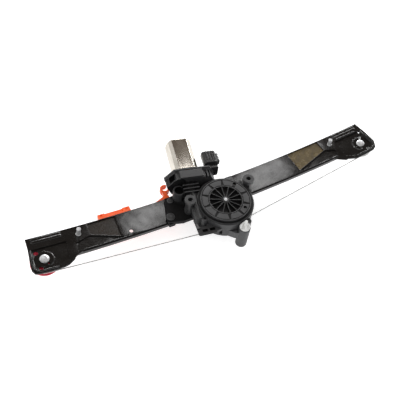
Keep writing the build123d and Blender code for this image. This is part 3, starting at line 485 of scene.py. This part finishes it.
@dataclass
class Frame:
    """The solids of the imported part, and how pieces are made from them."""

    nodes: dict[str, bpy.types.Object]

    def rounded(
        self,
        node: str,
        body: Body,
        finish: Finish,
        edge_mm: float,
        steps: int = 2,
        holes: Sequence[tuple[float, float, float, float]] = (),
    ) -> bpy.types.Object:
        """Makes a copy of a solid with its sharp edges rounded, which stands for it.

        Args:
            node: Name of the solid.
            body: Body it moves with.
            finish: Its finish.
            edge_mm: Radius of the rounded edges.
            steps: Faces across each rounded edge.
            holes: Upright holes to cut first: x, y, z of the middle and radius, in millimetres.

        Returns:
            The rounded piece.
        """
        source = self.nodes[node]
        piece = bpy.data.objects.new(f"{node}_skin", source.data.copy())
        bpy.context.scene.collection.objects.link(piece)
        only(piece)
        if piece.data.has_custom_normals:
            bpy.ops.mesh.customdata_custom_splitnormals_clear()
        bpy.ops.object.mode_set(mode="EDIT")
        bpy.ops.mesh.select_all(action="SELECT")
        bpy.ops.mesh.remove_doubles(threshold=0.002 * MM)
        bpy.ops.mesh.dissolve_limited(angle_limit=math.radians(0.05))
        bpy.ops.object.mode_set(mode="OBJECT")
        for x, y, z, radius in holes:
            self.cut(piece, (x, y, z), radius)
        bevel = piece.modifiers.new("edges", "BEVEL")
        bevel.width = edge_mm * MM
        bevel.segments = steps
        bevel.limit_method = "ANGLE"
        bevel.angle_limit = math.radians(BEVEL_DEG)
        bevel.use_clamp_overlap = False
        bevel.miter_outer = "MITER_ARC"
        bpy.ops.object.modifier_apply(modifier=bevel.name)
        bpy.ops.object.shade_smooth_by_angle(angle=math.radians(SMOOTH_DEG))
        flat = piece.modifiers.new("flats", "WEIGHTED_NORMAL")
        flat.keep_sharp = True
        flat.weight = 100
        bpy.ops.object.modifier_apply(modifier=flat.name)
        dress(piece, finish)
        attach(piece, body.value)
        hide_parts(node)
        return piece

    @staticmethod
    def cut(piece: bpy.types.Object, centre_mm: tuple[float, float, float], radius_mm: float) -> None:
        """Cuts an upright round hole through a piece.

        Args:
            piece: The piece.
            centre_mm: Middle of the hole.
            radius_mm: Its radius.
        """
        only_none()
        place = tuple(value * MM for value in centre_mm)
        bpy.ops.mesh.primitive_cylinder_add(vertices=40, radius=radius_mm * MM, depth=12 * MM, location=place)
        cutter = bpy.context.object
        only(piece)
        hole = piece.modifiers.new("hole", "BOOLEAN")
        hole.object = cutter
        hole.operation = "DIFFERENCE"
        bpy.ops.object.modifier_apply(modifier=hole.name)
        bpy.data.objects.remove(cutter)

    @staticmethod
    def zone(piece: bpy.types.Object, finish: Finish, inside: Callable[[Vector, Vector], bool]) -> None:
        """Gives the faces of a piece that lie inside a zone another finish.

        Args:
            piece: The piece.
            finish: Finish of the zone.
            inside: Test of a face's centre, in millimetres, and its normal.
        """
        piece.data.materials.append(finish.build())
        index = len(piece.data.materials) - 1
        for face in piece.data.polygons:
            if inside(face.center / MM, face.normal):
                face.material_index = index

    def keep(self, finish: Finish, *names: str) -> None:
        """Keeps solids as they are, smooth shaded, with a better finish.

        Args:
            finish: The finish.
            names: Names of the solids.
        """
        for name in names:
            node = self.nodes[name]
            only(node)
            bpy.ops.object.shade_smooth_by_angle(angle=math.radians(SMOOTH_DEG))
            dress(node, finish)


# ------------------------------------------------------------------ sub-assemblies


@dataclass(frozen=True)
class Region:
    """A box-shaped region of a moulding, in millimetres, open where a limit is left infinite."""

    low: tuple[float, float, float]
    high: tuple[float, float, float]

    def holds(self, place: Sequence[float]) -> bool:
        """Tells whether a place lies inside."""
        return all(low < value < high for low, value, high in zip(self.low, place, self.high))


# Places of the mouldings that take painted shade, in millimetres.
WING = Region((-math.inf, -13.0, -math.inf), (-38.0, math.inf, -26.0))
STRIP_POCKETS = Region((-math.inf, -math.inf, -19.2), (-29.0, -10.0, -15.7))
WEB = Region((-math.inf, -14.0, -20.0), (-24.0, 18.0, -7.0))
# These two are along and across the motor's axis and above it.
HOOD_HOLLOW = Region((43.2, 18.7, 2.0), (53.2, 26.9, math.inf))
NECK = Region((8.0, -14.0, -math.inf), (41.5, 14.0, 8.2))


@dataclass(frozen=True)
class Bead:
    """A rounded bead pressed out of the strip, from one end of its line to the other, in millimetres.

    The ball that it is drawn out of stops short of the far end by a share of the width.
    """

    start: tuple[float, float]
    end: tuple[float, float]
    width: float = 4.4
    height: float = 1.25
    short: float = 0.2

    def build(self, surface: Callable[[float], float]) -> bpy.types.Object:
        """Builds the bead as a drawn-out, flattened ball.

        Args:
            surface: Height of the strip's front at a distance along it, in millimetres.

        Returns:
            The bead.
        """
        (x0, y0), (x1, y1) = self.start, self.end
        low, high = surface(x0), surface(x1)
        run = Vector((x1 - x0, y1 - y0, high - low))
        only_none()
        half_width = self.width / 2
        bpy.ops.mesh.primitive_uv_sphere_add(
            segments=24, ring_count=12, radius=half_width * MM, location=(0, 0, 0)
        )
        bead = bpy.context.object
        for vertex in bead.data.vertices:
            if vertex.co.x > SAME_PLACE:
                vertex.co.x += (run.length - self.width * self.short) * MM
        side = Vector((0, 0, 1)).cross(run).normalized()
        turn = Matrix((run.normalized(), side, run.cross(side).normalized())).transposed().to_4x4()
        flatten = Matrix.Diagonal((1, 1, self.height / half_width, 1))
        bead.matrix_world = Matrix.Translation(Vector((x0, y0, low)) * MM) @ turn @ flatten
        bpy.ops.object.transform_apply(location=True, rotation=True, scale=True)
        bpy.ops.object.shade_smooth()
        return bead


@dataclass
class Rail:
    """The bowed pressed strip with its studs and end buffers, in millimetres.

    A pocket is stated by its ends along the strip, and its slanting foot by the place where it
    starts and its rise per millimetre from there.
    """

    frame: Frame
    edge_mm: float = 0.35
    bow_centre_z: float = 1566.0
    bow_radius: float = 1600.0
    pan_depth: float = 2.0
    pocket_foot_y: float = 0.5
    lower_pocket: tuple[float, float] = (-184.5, -143.5)
    lower_slant: tuple[float, float] = (-146.5, -0.423)
    upper_pocket: tuple[float, float] = (139.0, 195.0)
    upper_slant: tuple[float, float] = (141.5, 0.283)
    lower_beads: tuple[Bead, ...] = (
        Bead((-257.5, 32.0), (-220.5, 32.0)),
        Bead((-257.5, 27.7), (-220.5, 27.7), 4.8, 1.3),
        Bead((-264.0, 15.5), (-267.2, -4.0), 2.8, 1.7),
        Bead((-267.2, -4.0), (-267.7, -12.0), 2.8, 1.7),
        Bead((-267.6, -12.0), (-262.2, -16.2), 2.8, 1.7),
        Bead((-262.2, -16.2), (-239.0, -17.1), 2.8, 1.7),
    )
    upper_beads: tuple[Bead, ...] = (
        Bead((220.5, 32.0), (257.5, 32.0)),
        Bead((220.5, 27.7), (257.5, 27.7), 4.8, 1.3),
        Bead((223.0, 23.2), (255.0, 23.2), 3.8, 1.45),
        Bead((263.3, 19.0), (267.5, -5.5), 2.8, 1.7),
        Bead((267.5, -5.5), (264.8, -13.4), 2.8, 1.7),
        Bead((264.8, -13.4), (259.7, -16.8), 2.8, 1.7),
        Bead((259.7, -16.8), (234.0, -17.7), 2.8, 1.7),
    )

    def build(self) -> None:
        """Dresses the strip and what is fixed to it."""
        strip = self.frame.rounded("rail", Body.FRAME, STOVING_ENAMEL, self.edge_mm)
        # The pocket floors take a painted reflection in brown.
        self.frame.zone(strip, DARK_POCKET_REFLECTION, self.in_lower_pocket)
        self.frame.zone(strip, AMBER_POCKET_REFLECTION, self.in_upper_pocket)
        for name, beads in (("lower_head_beads", self.lower_beads), ("upper_head_beads", self.upper_beads)):
            self.add_beads(name, beads)
        self.frame.keep(ZINC_PLATE, "stud_lower", "stud_upper", "pulley_rivet_lower", "pulley_rivet_upper")
        self.frame.keep(RUBBER, "end_buffer_lower", "end_buffer_upper")

    def front(self, x: float) -> float:
        """Returns the height of the strip's front at a distance along it."""
        return self.bow_centre_z - math.sqrt(self.bow_radius**2 - x**2)

    def add_beads(self, name: str, beads: Sequence[Bead]) -> None:
        """Adds the beads of one head as one piece.

        Args:
            name: Name of the piece.
            beads: The beads.
        """
        made = [bead.build(self.front) for bead in beads]
        only(made[0])
        for bead in made[1:]:
            bead.select_set(True)
        bpy.ops.object.join()
        made[0].name = name
        dress(made[0], STOVING_ENAMEL)
        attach(made[0], Body.FRAME.value)

    def on_pan_floor(self, place: Vector, normal: Vector) -> bool:
        """Tells the floors of the pressed pans."""
        depth = math.hypot(place.x, place.z - self.bow_centre_z) - self.bow_radius
        return abs(depth - self.pan_depth) < 0.1 and normal.z > 0.9

    def in_pocket(
        self, place: Vector, normal: Vector, ends: tuple[float, float], slant: tuple[float, float]
    ) -> bool:
        """Tells the floor of a pocket.

        Args:
            place: Middle of a face, in millimetres.
            normal: Its normal.
            ends: Ends of the pocket along the strip.
            slant: Start and rise of its slanting foot.

        Returns:
            Whether the face is part of the floor.
        """
        start, rise = slant
        foot = self.pocket_foot_y + (place.x - start) * rise
        return ends[0] < place.x < ends[1] and place.y > foot and self.on_pan_floor(place, normal)

    def in_lower_pocket(self, place: Vector, normal: Vector) -> bool:
        """Tells the floor of the pocket towards the lower end."""
        return self.in_pocket(place, normal, self.lower_pocket, self.lower_slant)

    def in_upper_pocket(self, place: Vector, normal: Vector) -> bool:
        """Tells the floor of the pocket towards the upper end."""
        return self.in_pocket(place, normal, self.upper_pocket, self.upper_slant)


@dataclass
class CableDrive:
    """Pulleys, cable and drum."""

    frame: Frame

    def build(self) -> None:
        """Dresses the pulleys, the two runs of cable and the drum."""
        self.frame.keep(RED_ACETAL, "pulley_lower")
        # The upper pulley takes the whiter colour as painted light, so that it stays bright in the shade of
        # its gap.
        self.frame.keep(WHITE_NYLON_AND_PULLEY_LIGHT, "pulley_upper")
        self.frame.keep(WIRE_ROPE, "cable_lower", "cable_upper")
        self.frame.keep(NATURAL_ACETAL, "drum", "worm_wheel")
        self.frame.keep(SMOOTH_NYLON, "driver")
        self.frame.keep(RUBBER, "damper")
        self.frame.keep(ZINC_PLATE, "drum_shaft")


@dataclass
class Housings:
    """Drum housing, gear housing, spoked cover and their fixings, in millimetres."""

    frame: Frame
    edge_mm: float = 0.35
    cover_edge_mm: float = 0.25
    pin_edge_mm: float = 0.2
    rim_edge_mm: float = 0.3
    recess_radius: float = 6.6
    recess_top: float = -11.1
    boss_radius: float = 8.4
    spoke_reach: float = 22.6
    spoke_top: float = -3.3
    pad_band: tuple[float, float] = (23.8, 33.7)
    pad_top: float = -3.2
    rim_start: float = 55.6
    rim_length: float = 2.2
    rim_height: float = 1.6
    rim_line: tuple[tuple[float, float], ...] = ((-38.5, 3.2), (-31.2, 16.2), (18.9, 17.1), (32.6, 1.6))

    def build(self) -> None:
        """Dresses the moulded housings and the fixings in them."""
        drum_cup = self.frame.rounded("drum_housing", Body.FRAME, GLASS_NYLON, self.edge_mm)
        # The wing, the strip pockets, the hood's deep places and the floors between the spokes take painted
        # shade: the same nylon made darker.
        self.frame.zone(drum_cup, SHADED_NYLON, self.in_wing)
        self.frame.zone(drum_cup, SHADED_NYLON, self.in_strip_pocket)
        gear_case = self.frame.rounded("gear_housing", Body.FRAME, GLASS_NYLON, self.edge_mm)
        self.frame.zone(gear_case, SHADED_NYLON, self.in_hood_pocket)
        cover = self.frame.rounded("gear_cover", Body.FRAME, GLASS_NYLON, self.cover_edge_mm)
        self.frame.zone(cover, SHADED_NYLON, self.between_spokes)
        self.frame.rounded("locating_pin", Body.FRAME, WHITE_NYLON_AND_PULLEY_LIGHT, self.pin_edge_mm)
        self.add_flange_rim()
        self.frame.keep(GLASS_NYLON, "housing_rivets")
        self.frame.keep(BLACK_ZINC, "housing_screws")

    def in_wing(self, place: Vector, normal: Vector) -> bool:
        """Tells the low wing beside the drum cup."""
        return WING.holds(place)

    def in_strip_pocket(self, place: Vector, normal: Vector) -> bool:
        """Tells the floors and walls of the square pockets in the corner strip."""
        return STRIP_POCKETS.holds(place)

    def in_hood_pocket(self, place: Vector, normal: Vector) -> bool:
        """Tells the deep places of the hood, its neck, the trim recess and the web beside them.

        Args:
            place: Middle of a face, in millimetres.
            normal: Its normal.

        Returns:
            Whether the face lies in one of them.
        """
        by_motor = self.from_motor(place)
        hollow = HOOD_HOLLOW.holds(by_motor) and normal.z > -0.9
        recess = self.reach(place, TRIM_RECESS) < self.recess_radius and place.z < self.recess_top
        web = WEB.holds(place) and self.reach(place, WEB_BOSS) >= self.boss_radius
        return hollow or NECK.holds(by_motor) or recess or web

    @staticmethod
    def reach(place: Vector, centre: tuple[float, float]) -> float:
        """Returns how far a place is from an upright axis, in millimetres."""
        return (place.xy - Vector(centre)).length

    def between_spokes(self, place: Vector, normal: Vector) -> bool:
        """Tells the sunk floor and walls between the spokes, and the grooves between the pads."""
        reach = self.reach(place, DRUM_CENTRE)
        sunk = reach < self.spoke_reach and place.z < self.spoke_top
        groove = self.pad_band[0] < reach < self.pad_band[1] and place.z < self.pad_top
        return sunk or groove

    def add_flange_rim(self) -> None:
        """Adds the raised rim along the top of the motor flange, by drawing a strip along it."""
        corners = [self.at_motor(self.rim_start, across, up) for across, up in self.rim_line]
        only_none()
        bpy.ops.mesh.primitive_plane_add(size=1.0, location=(0, 0, 0))
        rim = bpy.context.object
        rim.name = "flange_rim"
        run = self.at_motor(self.rim_start + self.rim_length, *self.rim_line[0]) - corners[0]
        strip = (corners[0], corners[1], corners[0] + run, corners[1] + run)
        for vertex, corner in zip(rim.data.vertices, strip):
            vertex.co = corner
        bpy.ops.object.mode_set(mode="EDIT")
        for near, far in zip(corners[1:], corners[2:]):
            select_edges(rim, near, run)
            bpy.ops.mesh.extrude_region_move(TRANSFORM_OT_translate={"value": far - near})
        bpy.ops.object.mode_set(mode="OBJECT")
        thick = rim.modifiers.new("thick", "SOLIDIFY")
        thick.thickness = self.rim_height * MM
        thick.offset = 0.0
        thick.use_even_offset = True
        soft = rim.modifiers.new("edges", "BEVEL")
        soft.width = self.rim_edge_mm * MM
        soft.segments = 2
        only(rim)
        for modifier in ("thick", "edges"):
            bpy.ops.object.modifier_apply(modifier=modifier)
        bpy.ops.object.shade_smooth_by_angle(angle=math.radians(SMOOTH_DEG))
        dress(rim, GLASS_NYLON)
        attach(rim, Body.FRAME.value)

    @staticmethod
    def at_motor(along: float, across: float, up: float) -> Vector:
        """Finds the place at distances along and across the motor's axis, and above it.

        Args:
            along: Distance along the axis, in millimetres.
            across: Distance to its left.
            up: Height above it.

        Returns:
            The place, in metres.
        """
        turn = math.radians(MOTOR_TURN_DEG)
        x = along * math.sin(turn) - across * math.cos(turn)
        y = along * math.cos(turn) + across * math.sin(turn)
        return (Vector(MOTOR_FOOT) + Vector((x, y, up))) * MM

    @staticmethod
    def from_motor(place: Vector) -> tuple[float, float, float]:
        """Turns a place to distances along and across the motor's axis, and above it.

        Args:
            place: The place, in millimetres.

        Returns:
            The three distances.
        """
        away = place - Vector(MOTOR_FOOT)
        turn = math.radians(MOTOR_TURN_DEG)
        along = away.x * math.sin(turn) + away.y * math.cos(turn)
        across = -away.x * math.cos(turn) + away.y * math.sin(turn)
        return along, across, away.z


@dataclass
class Motor:
    """Motor can, what is inside it, and the connector beside it."""

    frame: Frame
    can_edge_mm: float = 0.5
    connector_edge_mm: float = 0.3

    def build(self) -> None:
        """Dresses the motor and its connector."""
        self.frame.rounded("motor_can", Body.FRAME, DRAWN_CAN, self.can_edge_mm, steps=3)
        self.frame.rounded("connector_housing", Body.FRAME, SMOOTH_NYLON, self.connector_edge_mm)
        self.frame.keep(RUBBER, "motor_seal")
        self.frame.keep(ZINC_PLATE, "flange_screws", "armature_shaft", "brush_springs", "thrust_ball")
        self.frame.keep(ZINC_PLATE, "connector_terminals")
        self.frame.keep(FERRITE, "magnet_left", "magnet_right")
        self.frame.keep(LAMINATIONS, "lamination_stack")
        self.frame.keep(COPPER_WIRE, "windings", "commutator")
        self.frame.keep(SMOOTH_NYLON, "brush_holder")
        self.frame.keep(CARBON, "brushes")
        self.frame.keep(BRONZE, "worm_bush_near", "worm_bush_far", "can_bush")


@dataclass
class Carriage:
    """Glass carriage with its clamp.

    The sight hole lies behind the strip's tooling hole, so that one looks through both. It is
    stated by its middle and radius, in millimetres.
    """

    frame: Frame
    edge_mm: float = 0.3
    sight_hole: tuple[float, float, float, float] = (-128.3, 10.6, -41.5, 6.2)

    def build(self) -> None:
        """Dresses the carriage and the glass clamp."""
        self.frame.rounded("carriage", Body.CARRIAGE, ORANGE_ACETAL, self.edge_mm, holes=[self.sight_hole])
        self.frame.keep(ZINC_PLATE, "glass_clamp", "clamp_screw", "clamp_nut", "cable_nipples")


# ------------------------------------------------------------------ studio


@dataclass(frozen=True)
class Softbox:
    """A rectangular lamp aimed at a point."""

    name: str
    place: tuple[float, float, float]
    aim: tuple[float, float, float]
    size: tuple[float, float]
    power: float

    def build(self) -> None:
        """Adds the lamp."""
        data = bpy.data.lights.new(self.name, "AREA")
        data.shape = "RECTANGLE"
        data.size, data.size_y = self.size
        data.energy = self.power
        lamp = bpy.data.objects.new(self.name, data)
        bpy.context.scene.collection.objects.link(lamp)
        lamp.location = self.place
        heading = Vector(self.aim) - Vector(self.place)
        lamp.rotation_euler = heading.to_track_quat("-Z", "Y").to_euler()


@dataclass
class Studio:
    """Camera, pale floor, softboxes and a plain white surround.

    The eye, its three directions and the lamps' places are in metres. The two rail softboxes
    face straight down and stand where the strip's plates mirror them to the eye.
    """

    floor_z: float
    floor_size: float = 6.0
    floor_lift: float = 0.62
    lens_mm: float = 53.85
    eye: tuple[float, float, float] = (-0.31221, -0.40322, 0.65064)
    right: tuple[float, float, float] = (0.88269, -0.46008, 0.09585)
    up: tuple[float, float, float] = (0.32206, 0.74072, 0.58958)
    back: tuple[float, float, float] = (-0.34225, -0.48955, 0.80200)
    surround: float = 0.60
    overhead: tuple[float, float, float, float] = (0.20, 0.172, 0.15, 1.0)
    lamps: list[Softbox] = field(
        default_factory=lambda: [
            Softbox("softbox_key", (-0.9, -1.1, 1.5), (0.0, 0.0, 0.0), (1.2, 0.9), 8.0),
            Softbox("softbox_rail_left", (0.457, 0.807, 1.2), (0.457, 0.807, 0.0), (0.094, 0.15), 0.24),
            Softbox("softbox_rail_right", (0.632, 0.727, 1.2), (0.632, 0.727, 0.0), (0.094, 0.15), 0.24),
            Softbox("softbox_back", (-0.42, 1.1, 1.15), (0.0, 0.0, 0.0), (0.22, 0.22), 0.6),
            Softbox("softbox_far", (0.92, 1.28, 0.60), (0.0, 0.0, 0.0), (1.7, 0.22), 22.0),
            Softbox("softbox_left", (-1.3, 0.5, 0.62), (0.0, 0.0, 0.0), (0.3, 0.8), 5.0),
        ]
    )

    def build(self) -> None:
        """Sets up the view, the floor and the light."""
        self.add_camera()
        self.add_floor()
        self.add_surround()
        for lamp in self.lamps:
            lamp.build()
        bpy.context.scene.view_settings.view_transform = "Standard"

    def add_camera(self) -> None:
        """Adds the camera at its place and turn."""
        data = bpy.data.cameras.new("camera")
        data.lens = self.lens_mm
        data.sensor_width = 36.0
        data.clip_start = 0.01
        data.clip_end = 20.0
        camera = bpy.data.objects.new("camera", data)
        bpy.context.scene.collection.objects.link(camera)
        turn = Matrix((self.right, self.up, self.back)).transposed().to_4x4()
        camera.matrix_world = Matrix.Translation(self.eye) @ turn
        bpy.context.scene.camera = camera

    def add_floor(self) -> None:
        """Adds the floor, white to the eye except where a shadow falls."""
        only_none()
        bpy.ops.mesh.primitive_plane_add(size=self.floor_size, location=(0, 0, self.floor_z))
        floor = bpy.context.object
        floor.name = "floor"
        bpy.ops.object.transform_apply(location=True, rotation=True, scale=True)
        material = bpy.data.materials.new("floor_paper")
        material.use_nodes = True
        tree = material.node_tree
        tree.nodes.clear()
        paper = add_node(tree, "ShaderNodeBsdfDiffuse", values={"Color": (0.8, 0.8, 0.8, 1)})
        lift = add_node(
            tree,
            "ShaderNodeEmission",
            values={"Color": (1, 1, 1, 1)},
            links={"Strength": scaled(tree, any_seen(tree), self.floor_lift)},
        )
        both = add_node(
            tree, "ShaderNodeAddShader", links={0: paper.outputs["BSDF"], 1: lift.outputs["Emission"]}
        )
        add_node(tree, "ShaderNodeOutputMaterial", links={"Surface": both.outputs["Shader"]})
        floor.data.materials.append(material)
        floor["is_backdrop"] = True

    def add_surround(self) -> None:
        """Makes the world white to the eye and a soft grey light otherwise.

        Gloss and glass see the white too, up to where the dim ceiling of the studio begins.
        """
        world = bpy.data.worlds.new("surround")
        bpy.context.scene.world = world
        world.use_nodes = True
        tree = world.node_tree
        tree.nodes.clear()
        rays = add_node(tree, "ShaderNodeLightPath")
        heading = add_node(tree, "ShaderNodeTexCoord").outputs["Generated"]
        height = add_node(tree, "ShaderNodeSeparateXYZ", links={"Vector": heading}).outputs["Z"]
        ceiling = add_node(
            tree,
            "ShaderNodeMapRange",
            values={1: 0.42, 2: 0.68, 3: 0.0, 4: 1.0},
            links={0: height},
        )
        mirrored = add_node(
            tree,
            "ShaderNodeMix",
            settings={"data_type": "RGBA"},
            values={6: (1, 1, 1, 1), 7: self.overhead},
            links={0: ceiling.outputs["Result"]},
        )
        whole = (1, 1, 1, 1)
        soft = add_node(tree, "ShaderNodeBackground", values={"Color": whole, "Strength": self.surround})
        white = add_node(tree, "ShaderNodeBackground", values={"Color": whole, "Strength": 1.0})
        gloss = add_node(
            tree,
            "ShaderNodeBackground",
            values={"Strength": 1.0},
            links={"Color": mirrored.outputs[2]},
        )
        lit = add_node(
            tree,
            "ShaderNodeMixShader",
            links={0: sent_on(tree, rays), 1: soft.outputs["Background"], 2: gloss.outputs["Background"]},
        )
        seen = add_node(
            tree,
            "ShaderNodeMixShader",
            links={
                0: rays.outputs["Is Camera Ray"],
                1: lit.outputs["Shader"],
                2: white.outputs["Background"],
            },
        )
        add_node(tree, "ShaderNodeOutputWorld", links={"Surface": seen.outputs["Shader"]})


def plain_box(corners: Iterable[Sequence[float]]) -> list[list[float]]:
    """Returns box corners as plain lists."""
    return [[float(value) for value in corner] for corner in corners]


def main() -> None:
    """Builds the regulator's sub-assemblies and the studio, in order."""
    logging.basicConfig(level=logging.INFO, format="%(name)s: %(message)s")
    for leftover in list(bpy.data.objects):
        bpy.data.objects.remove(leftover)
    frame = Frame(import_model()["nodes"])
    solids_box = plain_box(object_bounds())
    parts: list[tuple[str, Callable[[], None]]] = [
        ("rail", Rail(frame).build),
        ("cable drive", CableDrive(frame).build),
        ("housings", Housings(frame).build),
        ("motor", Motor(frame).build),
        ("carriage", Carriage(frame).build),
        ("studio", Studio(floor_z=solids_box[0][2] - FLOOR_GAP).build),
    ]
    for name, build in parts:
        build()
        LOG.info("%s built", name)


if __name__ == "__main__":
    main()
